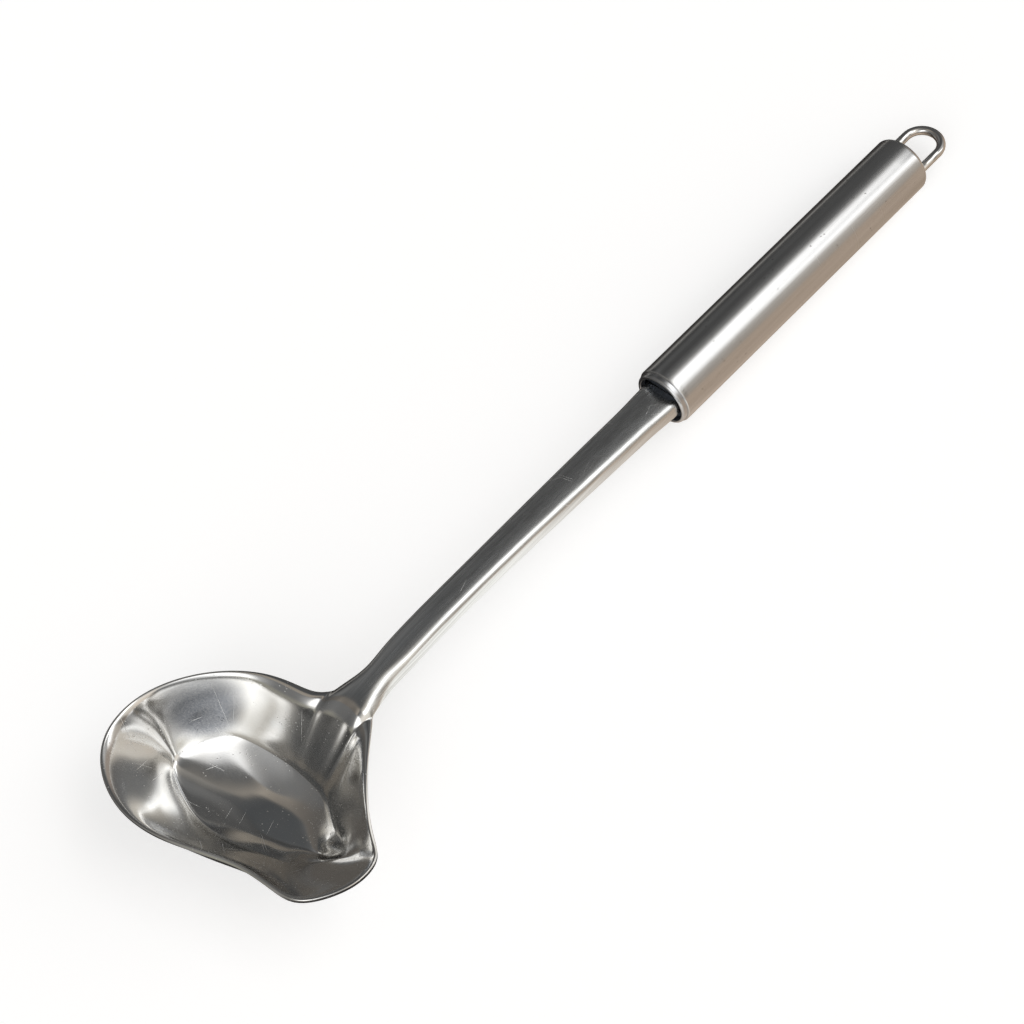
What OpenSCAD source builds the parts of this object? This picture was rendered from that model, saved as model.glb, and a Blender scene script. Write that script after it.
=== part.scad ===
// Sauce ladle: a pressed steel bowl with a side spout, flowing into a channel-section
// shank that enters a round tube grip with a wire hanging loop.
// Frame: millimetres, Z up, resting on the floor z = 0. The origin lies on the floor under
// the bowl, on the centre plane of the handle. X runs from the bowl to the loop, the spout
// points to -Y.

/* [Sheet] */
// thickness of the pressed sheet
sheet_t = 1.2; // [0.8:0.1:1.6]

/* [Bowl] */
// size of the bowl along the handle, front edge to neck
bowl_x = 59; // [52:1:66]
// size of the bowl across the handle, spout corner to far side
bowl_y = 86; // [76:1:96]
// height of the rim at the neck, inside the sheet
bowl_h = 27; // [22:1:32]
// height of the crease between base and front wall
crease_h = 3.6; // [2.8:0.2:4.8]
// bend size of the crease, larger is softer
crease_soft = 1.6; // [1.2:0.2:3]
// width of the turned-out lip on the front of the rim
lip_w = 2.0; // [1:0.2:3]

/* [Shank] */
// half width of the shank where it is slimmest
shank_half_w = 5.0; // [4.2:0.1:6]
// half width of the shank where it enters the cap
shank_end_half_w = 6.6; // [6:0.1:6.8]
// depth of the down-turned flanges
flange_h = 4.2; // [3.4:0.2:5]
// radius of the shoulders between top and flange
shoulder_r = 1.8; // [1.4:0.1:2.4]
// height of the shank's top above the grip axis at the cap
shank_top = 3.0; // [2.4:0.1:3.4]
// upward bow of the shank over its length
shank_bow = 1.6; // [0:0.2:2.4]
// distance from the bowl centre to the grip tube
reach = 159.6; // [145:1:180]

/* [Grip] */
// outer diameter of the grip tube
tube_d = 18; // [17.6:0.2:20]
// wall of the grip tube
tube_wall = 0.8; // [0.6:0.1:1]
// length of the grip tube
tube_len = 108; // [90:1:130]
// radius of the turned-in edge at the loop end of the tube
tube_edge_r = 1.8; // [1.4:0.1:2.2]

/* [Caps] */
// distance the bead of the front cap stands out of the tube
bead_out = 1.8; // [1.4:0.1:2.2]
// depth of the recess in the front cap
recess_deep = 1.5; // [1:0.1:2]
// length of both cap plugs inside the tube
plug_len = 5; // [4:0.5:8]
// gap around the shank in the slot of the cap
slot_gap = 0.35; // [0.2:0.05:0.5]

/* [Loop] */
// wire diameter of the hanging loop
wire_d = 2.7; // [2.2:0.1:3]
// steel left between the wire holes and the turned-in edge of the tube
hole_margin = 0.15; // [0.1:0.05:0.8]
// distance the loop stands out of the grip
loop_out = 15.3; // [12:0.5:20]

/* [Hidden] */
$fn = 96;

tube_r = tube_d / 2;
bore_r = tube_r - tube_wall;
curl_r = tube_r - tube_edge_r;      // opening radius left by the turned-in edge
curl_in = tube_edge_r - tube_wall;  // inner radius of the turned-in edge
loop_w = 2 * (curl_r - hole_margin) - wire_d;  // between the wire centres
tang_len = plug_len + 6;            // shank length hidden in the grip
neck_x = 33;                        // where bowl and shank meet
crown = 0.4;                        // rise of the shank's top across its width

// the grip slopes down so that its loop end and the bowl both rest on the floor
neck_drop = 1.8;                    // neck below the straight line of the shank's top
span = reach - neck_x;
tilt = asin((bowl_h + neck_drop - shank_top - curl_r - tube_edge_r) / (span + tube_len - tube_edge_r));
grip_z = (tube_len - tube_edge_r) * sin(tilt) + curl_r * cos(tilt) + tube_edge_r;

// point of the grip frame (x along the grip from its bowl end) in the part frame
function placed(p) = [reach + p[0] * cos(tilt) + p[2] * sin(tilt), p[1],
                      grip_z - p[0] * sin(tilt) + p[2] * cos(tilt)];

// smooth step from 0 to 1 between a and b
function ramp(v, a, b) = let (q = min(1, max(0, (v - a) / (b - a)))) q * q * (3 - 2 * q);
function mix(a, b, q) = a * (1 - q) + b * q;

// cubic spline over control points, free ends pass through the first and last point
function ctrl(c, i) = i < 0 ? 2 * c[0] - c[1] :
                      i >= len(c) ? 2 * c[len(c) - 1] - c[len(c) - 2] : c[i];
function spline(c, s) =
    let (n = len(c) - 1, q = min(max(s, 0), n), k = min(floor(q), n - 1), t = q - k)
    ((1 - t) ^ 3 * ctrl(c, k - 1) + (3 * t ^ 3 - 6 * t ^ 2 + 4) * ctrl(c, k)
     + (-3 * t ^ 3 + 3 * t ^ 2 + 3 * t + 1) * ctrl(c, k + 1) + t ^ 3 * ctrl(c, k + 2)) / 6;

// the shank: grip-frame x of its first and last section
x_first = (neck_x - reach) / cos(tilt);
x_last = tang_len;

// the section at x: half width, turn angle of the shoulder, shoulder radius, flange depth, top
neck_flare = 2.2;       // widening towards the bowl
neck_turn = 46;         // the flanges stand open at the neck
shank_turn = 86;        // and nearly upright along the shank
neck_soft = 2.7;        // extra shoulder radius at the neck
neck_flange = 1.9;      // flange depth at the neck
end_step = 0.32;        // share of the widening that comes just before the cap
function half_w(x) =
    let (u = (x - x_first) / -x_first)
    shank_half_w + neck_flare * (1 - ramp(x, x_first - 3, x_first + 12))
    + (shank_end_half_w - shank_half_w) * mix(ramp(u, 0.3, 1.0), ramp(x, -14, -2), end_step);
function turn(x) = mix(neck_turn, shank_turn, ramp(x, x_first - 2, x_first + 17));
function shoulder(x) = shoulder_r + neck_soft * (1 - ramp(x, x_first - 4, x_first + 22));
function flange(x) = mix(neck_flange, flange_h, ramp(x, x_first - 2, x_first + 16));
function top_z(x) =
    let (u = (x - x_first) / -x_first)
    shank_top + shank_bow * sin(180 * min(1, max(0, u)) ^ 0.8)
    - neck_drop * (1 - ramp(u, -0.06, 0.26));

half_n = 8;             // section points on each side of the crown
sec_n = 2 * half_n;
// one section point: k runs from -half_n (spout side edge) to half_n (far side edge)
function section(x, k) =
    let (a = turn(x), r = shoulder(x), w = half_w(x), d = flange(x), q = abs(k),
         leg = max(0.2, (d - r * (1 - cos(a))) / sin(a)),
         flat_w = w - r * sin(a) - leg * cos(a),
         c = a * min(1, max(0, q - 3) / 3),
         l = leg * max(0, q - 6) / 2,
         y = q <= 3 ? flat_w * q / 3 : flat_w + r * sin(c) + l * cos(a),
         dz = r * (1 - cos(c)) + l * sin(a))
    [x, sign(k) * y, top_z(x) - dz - crown * (y / w) ^ 2];
function sec_pt(x, k) = placed(section(x, k));

shank_n = 34;
// section places: close together at the neck and at the cap, wider between
function sec_x(j) = let (u = j / shank_n) mix(x_first, x_last, u + 0.07 * sin(360 * u - 180));

// the bowl
cx = 0;                 // centre of the base, right over the origin
cy = 0;
base_z = sheet_t;
sx = bowl_x / 59;
sy = bowl_y / 86;
sz = bowl_h / 27;
// stations from the neck round the far side and the front to the spout and back:
// [rim x, rim y, rim below bowl_h, crease x, crease y, crease height factor, softness,
//  lip width, rise of the lip's crest over its edge, outward bulge of the wall]
stations = [
    [29.4, 10.4, 2.0, 14.2, 11.2, 1.2, 1.2, 6.0, 1.5, 0],
    [28.2, 16.7, 1.5, 13.6, 16.4, 1.5, 1.2, 3.8, 0.9, 0],
    [26.2, 24, 1.0, 12.8, 21.5, 1.8, 1.2, 3.2, 0.8, 0],
    [22.3, 31, 0.5, 11.4, 27.4, 2.1, 1.6, 2.4, 0.4, 0.6],
    [15.8, 38.8, 0.1, 8.8, 31.8, 2.2, 3, 1.8, 0.2, 1.4],
    [6.8, 45.8, 0, 3.4, 35.5, 2.0, 3, 1.5, 0, 1.8],
    [-4.2, 50.0, 0, -4.2, 40.0, 1.4, 1.4, 1.5, 0, 1.2],
    [-16.7, 48.5, 0, -8.4, 35, 1.1, 1.2, 1.8, 0, 1],
    [-25.3, 39.2, 0, -12.9, 24, 1.0, 1.2, 2.0, 0, 1],
    [-29.2, 28, 0, -13.6, 17, 1.0, 1, 2.0, 0, 1],
    [-28.9, 17, 0, -13.0, 10.6, 1.0, 1, 1.8, 0, 1.4],
    [-26.4, 8.5, 0, -11.9, 5.6, 1.0, 1, 1.2, -0.2, 2.2],
    [-23.7, 0, 0, -10.6, 1.6, 1.0, 1, 0.8, -0.2, 2.6],
    [-21.1, -8, 0, -9.6, -2.0, 1.0, 1, 0.8, -0.2, 2.6],
    [-20.2, -15, 0, -8.7, -4.7, 1.0, 1, 0.8, -0.2, 2.2],
    [-20.2, -22, 0, -8.0, -6.8, 1.05, 1, 1.0, 0, 1.4],
    [-20.2, -28.2, 0, -7.2, -8.9, 1.2, 1, 1.0, 0, 1],
    [-15.5, -33.2, 0, -6.0, -11.5, 1.6, 1, 1.0, 0, 0.8],
    [-8, -37.6, 0, -4.4, -15.5, 2.3, 1, 1.0, 0, 0.6],
    [-1.8, -38.6, 0, -2.4, -20.5, 3.4, 1, 0.8, 0, 0.5],
    [3.1, -37.4, 0, 0.2, -25.5, 4.6, 1, 0.6, 0, 0.4],
    [5.2, -33.6, 0, 3.0, -20.8, 3.2, 1.2, 0.6, 0, 0.5],
    [8.4, -29, 0, 5.2, -16.8, 1.9, 1.2, 0.8, 0, 0.5],
    [13.4, -23.6, 0.1, 7.0, -12.6, 1.25, 1.2, 1.4, 0.2, 0.5],
    [19.2, -18.4, 0.5, 9.4, -8.4, 1.0, 1.4, 2.4, 0.6, 0.5],
    [25.0, -13.6, 1.3, 11.8, -4.8, 0.95, 1.8, 3.4, 1.0, 0.5],
    [30.6, -9.4, 2.0, 13.4, -1.2, 0.9, 1.8, 6.0, 1.5, 0.5]];
// the same without the rim, for the neck between the last and the first station
neck = [14.0, 5, 0.9, 1.8, 7, 1.6, 0.5];

rim_inset = 0.4;         // the sheet's upper edge lies this far inside its outline
rim_n = 92;             // columns round the rim
col_n = sec_n + rim_n;  // columns in all; the first sec_n + 1 cross the neck
row_n = 20;             // rows from the centre to the rim

// edge of the sheet: runs from one side of the neck round the rim to the other side
function rim_pt(s) =
    let (e = [sx * s[0] - cx, sy * s[1] - cy], q = 1 - rim_inset / norm(e))
    [cx + e[0] * q, cy + e[1] * q, bowl_h - s[2] * sz];
rim_ctrl = concat([sec_pt(x_first, half_n)], [for (s = stations) rim_pt(s)], [sec_pt(x_first, -half_n)]);
st_n = len(stations);
function edge_pt(i) = i <= sec_n ? sec_pt(x_first, i - half_n)
                                 : spline(rim_ctrl, (i - sec_n) / rim_n * (st_n + 1));

// the other station data run on smoothly across the neck: a closed ring
function sized(v) = [sx * v[0], sy * v[1], v[2] * crease_h * sz, v[3], v[4], v[5], v[6]];
ring = concat([for (s = stations) sized([for (k = [3 : 9]) s[k]])], [sized(neck)]);
function closed(c, s) =
    let (n = len(c), k = floor(s), t = s - k, at = [for (d = [-1 : 2]) c[(k + d + n) % n]])
    ((1 - t) ^ 3 * at[0] + (3 * t ^ 3 - 6 * t ^ 2 + 4) * at[1]
     + (-3 * t ^ 3 + 3 * t ^ 2 + 3 * t + 1) * at[2] + t ^ 3 * at[3]) / 6;
// the neck columns fan out over a wider stretch of the ring than of the rim
fan = 2.0;
function ring_at(i) = closed(ring,
    i <= sec_n ? st_n + fan * (i / sec_n - 0.5)
               : st_n + fan / 2 + (i - sec_n) / rim_n * (st_n + 1 - fan));

// 1 in the middle of the neck, fading to 0 past its edges, where the rim's lip takes over
function neck_share(i) = 1 - ramp(abs(i - half_n), 1, half_n + 2);

// control points of one profile from the centre of the base to the rim
dish_at = 0.55;         // share of the way to the crease where the base starts to rise
dish_up = 0.18;         // share of the crease height it has there
level_at = 0.66;        // share of the way to there over which the base is level
wall_at = 0.62;         // share of the wall height where it bulges
wall_sag = 1.2;         // the bulge points down by this much for 1 outward
neck_run = 4.5;         // the neck's last control point lies this far before the shank
shank_dir = placed([1, 0, top_z(x_first + 1) - top_z(x_first)]) - placed([0, 0, 0]);
function profile(i) =
    let (d = ring_at(i), e = edge_pt(i), c = [cx, cy, base_z],
         k = [d[0], d[1], base_z + d[2]],
         inner = [mix(cx, k[0], dish_at), mix(cy, k[1], dish_at), base_z + dish_up * crease_h * sz],
         level = [inner[0], inner[1], base_z],
         out = [e[0] - k[0], e[1] - k[1], 0] / norm([e[0] - k[0], e[1] - k[1]]),
         crest = mix(e - d[4] * lip_w / 2 * out + [0, 0, d[5]], e - neck_run * shank_dir, neck_share(i)),
         to_in = (inner - k) / norm(inner - k),
         to_out = (crest - k) / norm(crest - k),
         soft = crease_soft * d[3],
         wall = mix(k, crest, wall_at) + d[6] * (out - [0, 0, wall_sag]))
    [c, mix(c, level, level_at / 2), mix(c, level, level_at), inner, k + soft * to_in, k,
     k + soft * to_out, wall, crest, e];

function bowl_row(i) = let (p = profile(i), m = len(p) - 1) [for (j = [0 : row_n]) spline(p, j / row_n * m)];

// upper surface: columns of points; neck columns run on along the shank
upper = [for (i = [0 : col_n - 1])
    concat(bowl_row(i), i <= sec_n ? [for (j = [1 : shank_n]) sec_pt(sec_x(j), i - half_n)] : [])];

function wrap(i) = (i + col_n) % col_n;
function last(i) = i <= sec_n ? row_n + shank_n : row_n;
// unit normal of the upper surface
function normal(i, j) =
    let (in_shank = j > row_n,
         a = in_shank ? max(0, i - 1) : wrap(i - 1), b = in_shank ? min(sec_n, i + 1) : wrap(i + 1),
         j0 = max(j - 1, 0), j1 = min(j + 1, last(i)),
         n = cross(upper[i][j1] - upper[i][j0], upper[b][j] - upper[a][j]))
    n / norm(n);
lower = [for (i = [0 : col_n - 1]) [for (j = [0 : last(i)])
    j == 0 ? [cx, cy, base_z - sheet_t] : upper[i][j] - sheet_t * normal(i, j)]];

// point numbering: centre, bowl rows, shank rows; the lower surface follows the upper one
bowl_pts = 1 + row_n * col_n;
side_pts = bowl_pts + shank_n * (sec_n + 1);
function id(i, j) = j == 0 ? 0 :
    j <= row_n ? 1 + (j - 1) * col_n + wrap(i) : bowl_pts + (j - row_n - 1) * (sec_n + 1) + i;
function flat(c) = concat([c[0][0]],
    [for (j = [1 : row_n]) for (i = [0 : col_n - 1]) c[i][j]],
    [for (j = [row_n + 1 : row_n + shank_n]) for (i = [0 : sec_n]) c[i][j]]);

top_faces = concat(
    [for (i = [0 : col_n - 1]) [0, id(i + 1, 1), id(i, 1)]],
    [for (j = [1 : row_n - 1]) for (i = [0 : col_n - 1])
        [id(i, j), id(i + 1, j), id(i + 1, j + 1), id(i, j + 1)]],
    [for (j = [row_n : row_n + shank_n - 1]) for (i = [0 : sec_n - 1])
        [id(i, j), id(i + 1, j), id(i + 1, j + 1), id(i, j + 1)]]);
end_j = row_n + shank_n;
edge_faces = concat(
    [for (i = [sec_n : col_n - 1])
        [id(i, row_n), id(i + 1, row_n), side_pts + id(i + 1, row_n), side_pts + id(i, row_n)]],
    [for (j = [row_n : end_j - 1])
        [id(sec_n, j + 1), id(sec_n, j), side_pts + id(sec_n, j), side_pts + id(sec_n, j + 1)]],
    [for (j = [row_n : end_j - 1])
        [id(0, j), id(0, j + 1), side_pts + id(0, j + 1), side_pts + id(0, j)]],
    [for (i = [0 : sec_n - 1])
        [id(i, end_j), id(i + 1, end_j), side_pts + id(i + 1, end_j), side_pts + id(i, end_j)]]);

function turned(f) = [for (k = [len(f) - 1 : -1 : 0]) f[k]];
function below(f) = [for (v = f) side_pts + v];

module bowl_and_shank() {
    color([0.72, 0.72, 0.71])
    polyhedron(points = concat(flat(upper), flat(lower)),
               faces = concat(top_faces, [for (f = top_faces) below(turned(f))], edge_faces),
               convexity = 8);
}

// the grip: children drawn along the tube's axis from its bowl end
module in_grip() {
    translate([reach, 0, grip_z]) rotate([0, tilt, 0]) rotate([0, 90, 0]) children();
}

function arc(cx, cy, r, a0, a1, n = 12) = [for (k = [0 : n])
    [cx + r * cos(mix(a0, a1, k / n)), cy + r * sin(mix(a0, a1, k / n))]];

end_r = 0.35;           // rounding of the tube's bowl end
module grip_tube() {
    color([0.66, 0.66, 0.66]) in_grip()
    rotate_extrude() polygon(concat(
        [[bore_r, 0]],
        arc(tube_r - end_r, end_r, end_r, -90, 0, 4),
        arc(curl_r, tube_len - tube_edge_r, tube_edge_r, 0, 90),
        arc(curl_r, tube_len - tube_edge_r, curl_in, 90, 0)));
}

bead_step = 0.55;       // the bead stays this far inside the tube's outline
bead_w = 1.08;          // width of the bead between recess and outside
module front_cap() {
    bead_at = tube_r - bead_step;
    in_r = bead_w / 3;
    out_r = bead_w - in_r;
    rec_r = bead_at - bead_w;
    rec_at = recess_deep - bead_out;
    color([0.70, 0.70, 0.70]) in_grip()
    difference() {
        rotate_extrude() polygon(concat(
            [[0, rec_at], [rec_r, rec_at]],
            arc(rec_r + in_r, -bead_out + in_r, in_r, 180, 270, 6),
            arc(bead_at - out_r, -bead_out + out_r, out_r, -90, 0, 8),
            [[bead_at, 0], [bore_r, 0], [bore_r, plug_len], [0, plug_len]]));
        slot();
    }
}

// window in the front cap, in its own frame: the channel of the shank passes through
module slot() {
    w = shank_end_half_w + slot_gap;
    up = shank_top + slot_gap;
    low = shank_top - flange_h - crown - sheet_t * cos(shank_turn);
    r = shoulder_r;
    translate([0, 0, -bead_out - 1]) linear_extrude(plug_len + bead_out + 3)
    polygon(concat([[-low, -w]], [[-low, w]],
        arc(-up + r, w - r, r, 90, 180, 8), arc(-up + r, -w + r, r, 180, 270, 8)));
}

module end_cap() {
    color([0.68, 0.68, 0.68]) in_grip()
    difference() {
        rotate_extrude() polygon(concat(
            [[0, tube_len - plug_len], [bore_r, tube_len - plug_len]],
            arc(curl_r, tube_len - tube_edge_r, curl_in, 0, 90),
            [[curl_r, tube_len - 0.3], [0, tube_len - 0.1]]));
        for (s = [-1, 1]) translate([0, s * loop_w / 2, tube_len - plug_len - 1])
            cylinder(d = wire_d, h = plug_len + 2, $fn = 48);
    }
}

module hanging_loop() {
    bend_at = tube_len + loop_out - loop_w / 2 - wire_d / 2;
    foot = tube_len - plug_len;
    color([0.74, 0.74, 0.73]) in_grip()
    union() {
        for (s = [-1, 1]) translate([0, s * loop_w / 2, foot])
            cylinder(d = wire_d, h = bend_at - foot, $fn = 48);
        translate([0, 0, bend_at]) rotate([90, 0, 90]) rotate_extrude(angle = 180)
            translate([loop_w / 2, 0]) circle(d = wire_d, $fn = 48);
    }
}

bowl_and_shank();
grip_tube();
front_cap();
end_cap();
hanging_loop();
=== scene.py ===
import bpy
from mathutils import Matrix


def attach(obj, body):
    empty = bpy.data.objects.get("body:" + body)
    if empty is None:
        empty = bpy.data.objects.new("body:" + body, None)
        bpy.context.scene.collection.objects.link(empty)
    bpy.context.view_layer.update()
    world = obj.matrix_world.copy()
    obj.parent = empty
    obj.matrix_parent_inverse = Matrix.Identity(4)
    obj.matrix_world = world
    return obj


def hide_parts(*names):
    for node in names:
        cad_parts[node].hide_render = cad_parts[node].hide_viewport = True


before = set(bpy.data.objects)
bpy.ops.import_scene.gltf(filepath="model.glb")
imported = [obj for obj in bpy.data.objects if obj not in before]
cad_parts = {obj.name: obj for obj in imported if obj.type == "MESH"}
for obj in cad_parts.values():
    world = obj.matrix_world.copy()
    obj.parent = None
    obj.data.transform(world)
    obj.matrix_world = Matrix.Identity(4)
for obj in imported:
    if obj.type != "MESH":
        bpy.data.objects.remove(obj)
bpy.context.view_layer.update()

import copy
import math

import bmesh
import bpy
from mathutils import Matrix, Quaternion, Vector

scene = bpy.context.scene

# Bowl and shank
# One sheet of stainless steel, pressed to the bowl with its side spout, the neck and the
# channel of the shank in one piece, then polished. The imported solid's triangles are joined
# in pairs again and rounded by subdivision. It is stuck through the front cap's slot.


class Sock:
    """A shader node's output, which can be added, multiplied and so on."""

    def __init__(self, tree, kind, settings=None, inputs=None, out=0):
        self.tree, self.node = tree, tree.nodes.new("ShaderNode" + kind)
        for name, value in (settings or {}).items():
            if name == "stops":
                ramp = self.node.color_ramp
                while len(ramp.elements) < len(value):
                    ramp.elements.new(0.5)
                for stop, (at, colour) in zip(ramp.elements, value):
                    stop.position, stop.color = at, colour
            else:
                setattr(self.node, name, value)
        for name, value in (inputs or {}).items():
            put(tree, value, self.node.inputs[name])
        self.out = self.node.outputs[out] if self.node.outputs else None

    def other(self, out):
        """Another output of the same node."""
        twin = copy.copy(self)
        twin.out = self.node.outputs[out]
        return twin

    def math(self, kind, a, b=0.0):
        return Sock(self.tree, "Math", {"operation": kind}, {0: a, 1: b})

    def __add__(self, o): return self.math("ADD", self, o)
    def __radd__(self, o): return self.math("ADD", o, self)
    def __sub__(self, o): return self.math("SUBTRACT", self, o)
    def __rsub__(self, o): return self.math("SUBTRACT", o, self)
    def __mul__(self, o): return self.math("MULTIPLY", self, o)
    def __truediv__(self, o): return self.math("DIVIDE", self, o)
    def __pow__(self, o): return self.math("POWER", self, o)


def put(tree, value, socket):
    """Links a node's output to a socket, or writes a plain value on it."""
    if isinstance(value, Sock):
        tree.links.new(value.out, socket)
    else:
        socket.default_value = value


def step(value, low, high):
    """Smooth rise from 0 at low to 1 at high, or fall where high is the smaller."""
    return Sock(value.tree, "MapRange", {"interpolation_type": "SMOOTHSTEP"},
                {"Value": value, "From Min": low, "From Max": high})


def mix(tree, a, b, share):
    """Colour a where share is 0, colour b where it is 1."""
    return Sock(tree, "Mix", {"data_type": "RGBA"}, {0: share, 6: a, 7: b}, out=2)


def noise(place, reach, detail=2.0, rough=0.5, spread=1.0):
    """Noise from 0 to 1; reach is the size of its spots in metres along the three axes of place."""
    tree = place[0].tree
    at = Sock(tree, "CombineXYZ", None, {k: place[k] / reach[k] for k in range(3)})
    wave = Sock(tree, "TexNoise", None,
                {"Vector": at, "Scale": 1.0, "Detail": detail, "Roughness": rough})
    return 0.5 + (wave - 0.5) * spread


def turned(place, angle):
    """The same place in axes turned by an angle about the third one."""
    c, s = math.cos(math.radians(angle)), math.sin(math.radians(angle))
    return [place[0] * c + place[1] * s, place[1] * c - place[0] * s, place[2]]


def scratches(place, angle, length, width, share):
    """Thin straight lines along an angle: a needle in each long cell of a mosaic, in a share of the cells."""
    p = turned(place, angle)
    tree = p[0].tree
    at = Sock(tree, "CombineXYZ", None, {0: p[0] / (length * 4), 1: p[1] / (width * 4)})
    cell = Sock(tree, "TexVoronoi", {"voronoi_dimensions": "2D"}, {"Vector": at, "Scale": 1.0})
    chance = Sock(tree, "SeparateXYZ", None, {0: cell.other(1)})
    return step(cell, 0.125, 0.06) * step(chance, 1 - share, 1.002 - share)


def dots(tree, per_metre, edge, middle):
    """Small round marks, one in each cell of a mosaic."""
    cells = Sock(tree, "TexVoronoi", None,
                 {"Vector": Sock(tree, "TexCoord", out=3), "Scale": per_metre, "Randomness": 1.0})
    return step(cells, edge, middle)


def object_place(tree):
    xyz = Sock(tree, "SeparateXYZ", None, {0: Sock(tree, "TexCoord", out=3)})
    return [xyz, xyz.other(1), xyz.other(2)]


def steel(name, plain_tint):
    """A new metal material: itself, its node tree, its shader and the place on the object."""
    m = bpy.data.materials.new(name)
    m.use_nodes = True
    shader = m.node_tree.nodes["Principled BSDF"]
    shader.inputs["Metallic"].default_value = 1.0
    m.diffuse_color = (*plain_tint, 1)
    return m, m.node_tree, shader, object_place(m.node_tree)


def bumps(tree, shader, *layers):
    """Relief from pairs of height (0 to 1) and depth in metres."""
    last = None
    for height, depth in layers:
        ins = {"Height": height, "Distance": depth, "Strength": 1.0}
        if last:
            ins["Normal"] = last
        last = Sock(tree, "Bump", None, ins)
    put(tree, last, shader.inputs["Normal"])


def piece(name, bm, material):
    """Turns a finished bmesh into an object of the scene, its mesh in place."""
    bmesh.ops.recalc_face_normals(bm, faces=bm.faces)
    for f in bm.faces:
        f.smooth = True
    mesh = bpy.data.meshes.new(name)
    bm.to_mesh(mesh)
    bm.free()
    made = bpy.data.objects.new(name, mesh)
    scene.collection.objects.link(made)
    mesh.materials.append(material)
    return made


shank_from, bowl_to = 0.040, 0.030
# middle, turn, length and width of the painted dark reflection on the bowl's far wall
dark_reflection_x, dark_reflection_y, dark_reflection_turn, dark_reflection_long, dark_reflection_wide = 0.0092, 0.0363, -42, 0.0120, 0.0045
crown = -12.0
polish, nt, shader, place = steel("polished_sheet", (0.74, 0.74, 0.73))
x, y, z = place
bowl = step(x, shank_from, bowl_to)
# fine brushing: across the bowl in long arcs, and straight along the shank
arc_brush = noise([y, x, z], (0.030, 0.00035, 0.00035), 3.0, 0.6)
shank_brush = noise([x, y, z], (0.050, 0.00030, 0.00030), 3.0, 0.6)
brush = arc_brush * bowl + shank_brush * (1 - bowl)
# soft waves left by the press, smudges from handling, hair scratches and tiny pits
waves = noise(place, (0.009, 0.012, 0.012), 1.0)
smudge = noise(place, (0.007, 0.007, 0.007), 4.0, 0.65)
hairs = (scratches(place, 62, 0.009, 0.00011, 0.020) + scratches(place, 104, 0.007, 0.00009, 0.022)
         + scratches(place, 18, 0.006, 0.00009, 0.016) + scratches(place, 146, 0.004, 0.00008, 0.014))
pits = dots(nt, 900.0, 0.20, 0.08) * step(noise(place, (0.006, 0.006, 0.006), 1.0), 0.50, 0.62) * bowl
# a painted dark reflection on the far wall, and lighter and darker stripes along the shank
along, over, _ = turned([x - dark_reflection_x, y - dark_reflection_y, z], dark_reflection_turn)
painted_dark_reflection = step((along / dark_reflection_long) ** 2 + (over / dark_reflection_wide) ** 2, 1.5, 0.2)
stripes = noise([x, y, z], (0.060, 0.0007, 0.0007), 3.0, 0.6, 1.6)
striped = mix(nt, (0.56, 0.56, 0.55, 1), (0.93, 0.94, 0.94, 1), stripes)
tone = mix(nt, (0.72, 0.73, 0.735, 1), (0.76, 0.74, 0.705, 1), smudge)
tone = mix(nt, tone, striped, 1 - bowl)
# painted dark reflection: the far wall's colour goes blue-black inside the ellipse
tone = mix(nt, tone, (0.10, 0.11, 0.13, 1), painted_dark_reflection * (0.86 + (brush - 0.5) * 0.5))
put(nt, mix(nt, tone, (0.92, 0.92, 0.92, 1), hairs), shader.inputs["Base Color"])
put(nt, 0.13 + (1 - bowl) * 0.13 + (smudge - 0.5) * 0.10 + (brush - 0.5) * 0.12
    + hairs * 0.45 + pits * 0.55, shader.inputs["Roughness"])
bumps(nt, shader, (y * y * (1 - bowl), crown), (waves, 0.00006),
      (brush * (1 + (1 - bowl) * 2.4), 0.0000032), (hairs, 0.000008), (pits, 0.000012))

bm = bmesh.new()
bm.from_mesh(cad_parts["bowl_and_shank"].data)
bmesh.ops.remove_doubles(bm, verts=bm.verts, dist=1e-6)
bm.faces.ensure_lookup_table()
pairs = [(bm.faces[k], bm.faces[k + 1]) for k in range(0, len(bm.faces) - 1, 2)]
diagonals = [set(a.edges) & set(b.edges) for a, b in pairs]
if all(len(d) == 1 for d in diagonals):
    bmesh.ops.dissolve_edges(bm, edges=[e for d in diagonals for e in d], use_verts=False)
else:
    bmesh.ops.join_triangles(bm, faces=bm.faces, angle_face_threshold=3.14, angle_shape_threshold=3.14)
sheet = piece("ladle_sheet", bm, polish)
round_off = sheet.modifiers.new("round", "SUBSURF")
round_off.levels = round_off.render_levels = 2
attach(sheet, "root")
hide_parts("bowl_and_shank")

# Front cap
# A turned plug in the bowl end of the tube: a rounded bead stands out in front of the tube
# and rings a shallow recess, whose floor has the window for the shank. Satin, with painted shade on the recess floor.
grip_x, grip_z, lean = 0.1596, 0.016645, math.radians(4.138)
grip = Matrix.Translation((grip_x, 0, grip_z)) @ Matrix.Rotation(lean + math.pi / 2, 4, "Y")


def along_grip(place):
    """Place along, across and above the grip's axis."""
    dx, dz = place[0] - grip_x, place[2] - grip_z
    return [dx * math.cos(lean) - dz * math.sin(lean), place[1], dx * math.sin(lean) + dz * math.cos(lean)]


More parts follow.
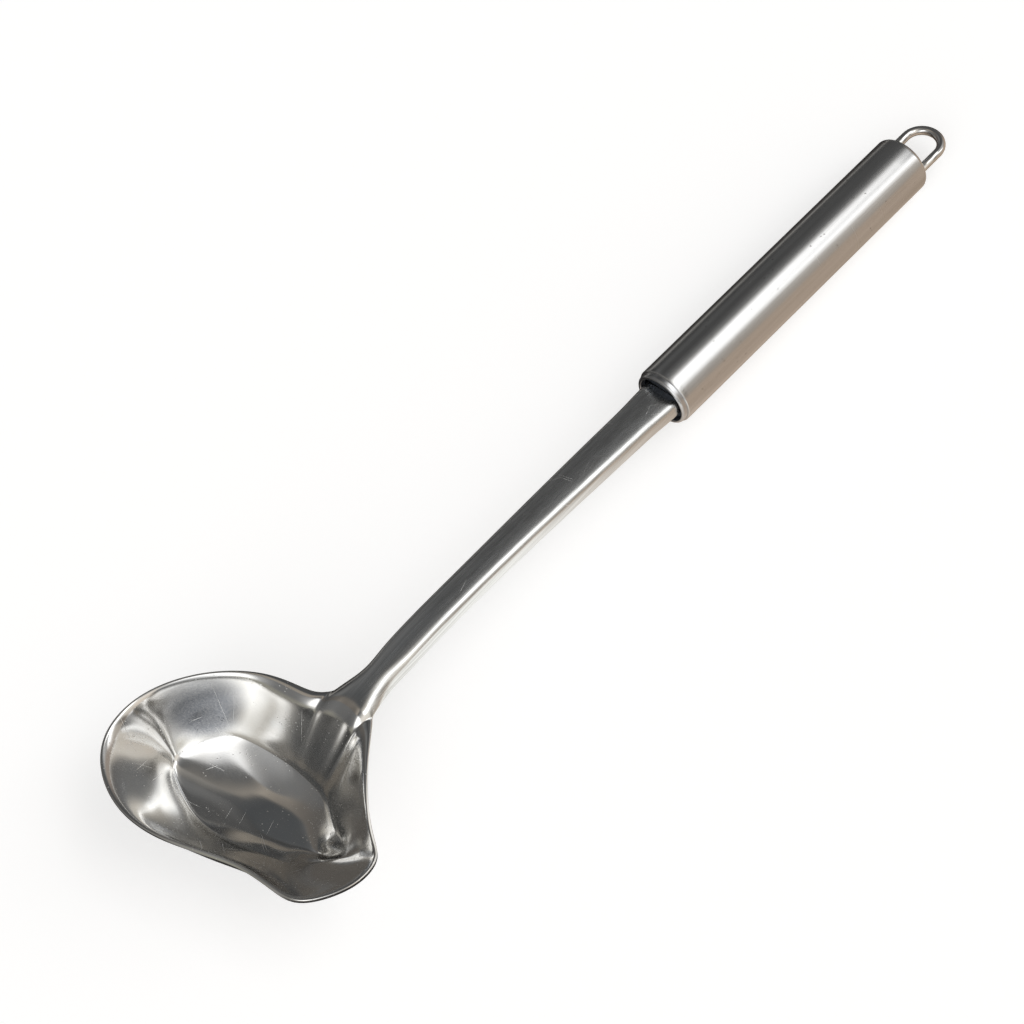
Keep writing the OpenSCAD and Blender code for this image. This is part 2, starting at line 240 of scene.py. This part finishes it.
satin, nt, shader, place = steel("cap_satin", (0.66, 0.67, 0.69))
axis, side, up = along_grip(place)
from_axis = (side * side + up * up) ** 0.5
turning = noise([from_axis, axis, axis], (0.00018, 0.0004, 0.0004), 2.0)
# mask of the recess floor behind the bead, where shade is painted
shaded_recess = step(axis, -0.0012, -0.0005) * step(from_axis, 0.0077, 0.0072)
grime = noise(place, (0.0022, 0.0022, 0.0022), 4.0, 0.7)
clean = mix(nt, (0.66, 0.67, 0.69, 1), (0.58, 0.58, 0.58, 1), grime)
# painted shade: the recess floor is coloured near black-blue
put(nt, mix(nt, clean, (0.09, 0.105, 0.13, 1), shaded_recess), shader.inputs["Base Color"])
put(nt, 0.20 + (turning - 0.5) * 0.10 + shaded_recess * 0.25 + grime * 0.06, shader.inputs["Roughness"])
bumps(nt, shader, (turning, 0.000004), (grime, 0.000010))
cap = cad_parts["front_cap"]
cap.data.materials.clear()
cap.data.materials.append(satin)

# Grip tube
# A drawn round tube of 18 mm, brushed along its length, its bowl end slightly rounded and its
# loop end rolled in over the end cap. It is welded to both caps.
tube_r, wall, tube_len, roll, edge = 9.0, 0.8, 108.0, 1.8, 0.35


def turned_part(bm, outline, steps=128):
    """Turns an outline of (radius, distance) points in millimetres about the grip's axis."""
    points = [bm.verts.new((r / 1000, 0, d / 1000)) for r, d in outline]
    edges = [bm.edges.new(pair) for pair in zip(points, points[1:])]
    bmesh.ops.spin(bm, geom=points + edges, cent=(0, 0, 0), axis=(0, 0, 1), angle=2 * math.pi,
                   steps=steps, use_merge=True)
    bmesh.ops.remove_doubles(bm, verts=bm.verts, dist=1e-6)


def bend(cx, cy, r, start, end, steps):
    """Points of a round corner, angles in degrees."""
    turns = [math.radians(start + (end - start) * k / steps) for k in range(steps + 1)]
    return [(cx + r * math.cos(t), cy + r * math.sin(t)) for t in turns]


brushed, nt, shader, place = steel("brushed_tube", (0.70, 0.70, 0.70))
long = along_grip(place)
fine = noise(long, (0.030, 0.00022, 0.00022), 3.0, 0.6)
broad = noise(long, (0.060, 0.0011, 0.0011), 2.0)
smudge = noise(long, (0.012, 0.006, 0.006), 4.0, 0.65)
pits = dots(nt, 520.0, 0.16, 0.07) * step(noise(long, (0.010, 0.004, 0.004), 1.0), 0.52, 0.60)
hairs = scratches(long, 3, 0.012, 0.00010, 0.020) + scratches(long, 84, 0.004, 0.00010, 0.016)
tone = mix(nt, (0.60, 0.60, 0.60, 1), (0.76, 0.755, 0.745, 1), fine * 0.6 + smudge * 0.4)
put(nt, mix(nt, tone, (0.34, 0.33, 0.32, 1), pits * 0.8), shader.inputs["Base Color"])
put(nt, 0.21 + (fine - 0.5) * 0.20 + (smudge - 0.5) * 0.10 + hairs * 0.10, shader.inputs["Roughness"])
bumps(nt, shader, (broad, 0.000010), (fine, 0.0000060), (hairs, 0.000008), (pits, 0.000018))
bm = bmesh.new()
turned_part(bm, [(tube_r - wall, 0.0)] + bend(tube_r - edge, edge, edge, -90, 0, 5)
            + [(tube_r, d) for d in (2, 20, 40, 60, 80, 100)]
            + bend(tube_r - roll, tube_len - roll, roll, 0, 90, 12)
            + bend(tube_r - roll, tube_len - roll, roll - wall, 90, 0, 8)
            + [(tube_r - wall, d) for d in (100, 80, 60, 40, 20, 2, 0)])
bm.transform(grip)
tube = piece("round_tube", bm, brushed)
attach(tube, "root")
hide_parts("grip_tube")

# End cap
# A disc plug behind the rolled-in edge, with two holes in which the wire is welded. Satin,
# turned on its face and a little stained around the wire.
back, nt, shader, place = steel("cap_back", (0.64, 0.65, 0.67))
axis, side, up = along_grip(place)
from_axis = (side * side + up * up) ** 0.5
turning = noise([from_axis, axis, axis], (0.00016, 0.0004, 0.0004), 2.0)
stain = noise(place, (0.003, 0.003, 0.003), 4.0, 0.7)
tone = mix(nt, (0.66, 0.66, 0.67, 1), (0.50, 0.47, 0.44, 1), step(stain, 0.45, 0.75))
put(nt, tone, shader.inputs["Base Color"])
put(nt, 0.24 + (turning - 0.5) * 0.12 + stain * 0.10, shader.inputs["Roughness"])
bumps(nt, shader, (turning, 0.000005), (stain, 0.000012))
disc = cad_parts["end_cap"]
disc.data.materials.clear()
disc.data.materials.append(back)

# Hanging loop
# Drawn steel wire of 2.7 mm, bent to a narrow U and polished, its ends set into the end cap.
# half_gap is from the grip's axis to the middle of a leg, and out how far the loop stands out.
wire, half_gap, foot, out = 2.7, 5.7, 103.0, 15.3
bright, nt, shader, place = steel("drawn_wire", (0.74, 0.74, 0.73))
drawn = noise(along_grip(place), (0.012, 0.00025, 0.00025), 2.0)
wear = noise(place, (0.003, 0.003, 0.003), 4.0, 0.65)
put(nt, mix(nt, (0.72, 0.72, 0.72, 1), (0.78, 0.76, 0.73, 1), wear), shader.inputs["Base Color"])
put(nt, 0.12 + (drawn - 0.5) * 0.10 + (wear - 0.5) * 0.12, shader.inputs["Roughness"])
bumps(nt, shader, (drawn, 0.0000035), (wear, 0.000012))
bm = bmesh.new()
ring = bmesh.ops.create_circle(bm, segments=40, radius=wire / 2000)["verts"]
bmesh.ops.translate(bm, verts=ring, vec=(0, half_gap / 1000, foot / 1000))
rim = list({e for v in ring for e in v.link_edges})
bend_at = (tube_len + out - half_gap - wire / 2) / 1000
for part in ("leg", "bow", "leg"):
    if part == "leg":
        way = (bend_at - foot / 1000) * (1 if rim[0].verts[0].co.z < bend_at - 1e-6 else -1)
        new = bmesh.ops.extrude_edge_only(bm, edges=rim)["geom"]
        bmesh.ops.translate(bm, verts=[g for g in new if isinstance(g, bmesh.types.BMVert)],
                            vec=(0, 0, way))
        rim = [g for g in new if isinstance(g, bmesh.types.BMEdge) and all(v in new for v in g.verts)]
    else:
        new = bmesh.ops.spin(bm, geom=rim + list({v for e in rim for v in e.verts}), cent=(0, 0, bend_at),
                             axis=(1, 0, 0), angle=math.pi, steps=48, use_merge=False)["geom_last"]
        rim = [g for g in new if isinstance(g, bmesh.types.BMEdge)]
bmesh.ops.remove_doubles(bm, verts=bm.verts, dist=1e-7)
bmesh.ops.holes_fill(bm, edges=[e for e in bm.edges if e.is_boundary], sides=0)
bm.transform(grip)
loop = piece("wire_loop", bm, bright)
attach(loop, "root")
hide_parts("hanging_loop")

# Floor
# A plain pale table top. The camera sees it white with the ladle's shadow on it. The steel
# mirrors it bright beside the neck, beige along the grip and dark close behind the ladle.
bm = bmesh.new()
bmesh.ops.create_grid(bm, x_segments=1, y_segments=1, size=3)
paper = bpy.data.materials.new("pale_floor")
paper.use_nodes = True
nt = paper.node_tree
shader = nt.nodes["Principled BSDF"]
shader.inputs["Roughness"].default_value = 1.0
shader.inputs["Specular IOR Level"].default_value = 0.0
shader.inputs["Emission Strength"].default_value = 1.0
black = (0, 0, 0, 1)
seen = Sock(nt, "LightPath")
mirrored = seen.other(3)
x, y, z = place = object_place(nt)
grain = noise(place, (0.004, 0.004, 0.004), 3.0)
streak = noise(turned(place, -3), (0.12, 0.006, 1), 2.0, 0.6, 2.2)
wood = mix(nt, (0.36, 0.28, 0.21, 1), (0.66, 0.54, 0.44, 1), streak)
wood = mix(nt, (1.10, 1.09, 1.05, 1), wood, step(x, 0.09, 0.18))
behind = mix(nt, (0.04, 0.037, 0.035, 1), (0.30, 0.29, 0.275, 1), step(y, 0.05, 0.16) + step(x, -0.06, -0.16))
table = mix(nt, behind, wood, step(y, 0.012, -0.006) * step(x, 0.022, 0.048))
plain = mix(nt, (0.60, 0.51, 0.44, 1), (0.62, 0.53, 0.46, 1), grain)
base = mix(nt, plain, black, mirrored)
glow = mix(nt, black, table, mirrored)
put(nt, mix(nt, base, (0.66, 0.66, 0.66, 1), seen), shader.inputs["Base Color"])
put(nt, mix(nt, glow, (0.62, 0.62, 0.62, 1), seen), shader.inputs["Emission Color"])
floor = piece("floor", bm, paper)

# Studio light
# A soft panel overhead on the spout's side, a dark room behind the ladle, a warm low wall in
# front, dimmer warm walls beyond the grip and an olive one beyond the bowl. Each ramp runs
# over degrees from straight up towards +Y, and the ramps follow each other towards +X.
studio = bpy.data.worlds.new("studio")
scene.world = studio
studio.use_nodes = True
nt = studio.node_tree
nt.nodes.clear()
dx = Sock(nt, "SeparateXYZ", None, {0: Sock(nt, "TexCoord")})
dy, dz = dx.other(1), dx.other(2)
off_zenith = Sock(nt, "Math", {"operation": "ARCCOSINE"}, {0: dz}) * (180 / math.pi)
flat = (dx * dx + dy * dy + 1e-6) ** 0.5
to_x, to_y = off_zenith * dx / flat, off_zenith * dy / flat


def bands(angle, *stops):
    """Brightness over an angle: each stop is (degrees, grey) or (degrees, red, green, blue)."""
    places = [((at + 90) / 180, (*(c * 3)[:3], 1)) for at, *c in stops]
    return Sock(nt, "ValToRGB", {"stops": places}, {0: (angle + 90) / 180})


far = bands(to_y, (-90, 0.40, 0.34, 0.29), (4, 0.36, 0.31, 0.27), (29, 0.10), (90, 0.03))
beyond = bands(to_y, (-90, 0.36, 0.31, 0.26), (-54, 0.60, 0.56, 0.51), (-38, 2.2), (-27, 0.40), (-8, 0.55),
               (10, 0.10), (90, 0.06))
room = bands(to_y + step(to_x, 40.0, 0.0) * 13,
             (-90, 0.34, 0.28, 0.23), (-72, 0.20, 0.18, 0.16), (-54, 0.38, 0.36, 0.33), (-40, 1.2), (-18, 2.3),
             (-8, 2.0), (1, 0.46, 0.45, 0.43), (10, 0.19), (24, 0.10), (38, 0.06), (59, 0.13), (72, 0.05), (90, 0.03))
middle = bands(to_y, (-90, 0.62, 0.55, 0.48), (-50, 1.0, 0.97, 0.90), (-42, 2.4), (-27, 2.4), (-19, 0.75, 0.72, 0.66),
               (-3, 0.38, 0.36, 0.33), (8, 0.12), (26, 0.075, 0.08, 0.085), (46, 0.19), (90, 0.08))
left = bands(to_y, (-90, 0.8, 0.7, 0.6), (-50, 1.0, 0.95, 0.88), (-18, 0.30), (-4, 0.13), (12, 0.40, 0.36, 0.31),
             (30, 0.17, 0.155, 0.14), (90, 0.08))
near = bands(to_y, (-90, 0.12), (-60, 0.36), (-34, 1.8), (-14, 1.8), (-2, 0.50), (13, 0.20), (90, 0.08))
olive = bands(to_y, (-90, 0.30, 0.28, 0.25), (-60, 0.36, 0.35, 0.30), (0, 0.36, 0.35, 0.30),
              (36, 0.30, 0.29, 0.25), (90, 0.16, 0.16, 0.15))
sky = mix(nt, beyond, room, step(to_x, 38.0, 33.0))
sky = mix(nt, sky, middle, step(to_x, 25.0, 17.0))
sky = mix(nt, sky, left, step(to_x, 5.0, -5.0))
sky = mix(nt, sky, near, step(to_x, -24.0, -30.0))
sky = mix(nt, sky, olive, step(to_x, -70.0, -84.0))
sky = mix(nt, sky, far, step(to_x, 52.0, 75.0))
Sock(nt, "OutputWorld", None, {"Surface": Sock(nt, "Background", None, {0: sky})})

# Camera
# It stands about 0.9 m off over the bowl's open side, turned about its own axis, because the
# ladle was photographed lying at a slant in the frame.
aim = Vector((0.1059, 0.0102, 0.016))
eye = Vector((-0.1753, -0.3969, 0.7425))
slant = math.radians(-16.69)
view = bpy.data.cameras.new("camera")
view.lens, view.sensor_width = 112.5, 36.0
camera = bpy.data.objects.new("camera", view)
scene.collection.objects.link(camera)
camera.rotation_mode = "QUATERNION"
camera.location = eye
camera.rotation_quaternion = (aim - eye).to_track_quat("-Z", "Y") @ Quaternion((0, 0, 1), slant)
scene.camera = camera
scene.view_settings.view_transform = "Standard"
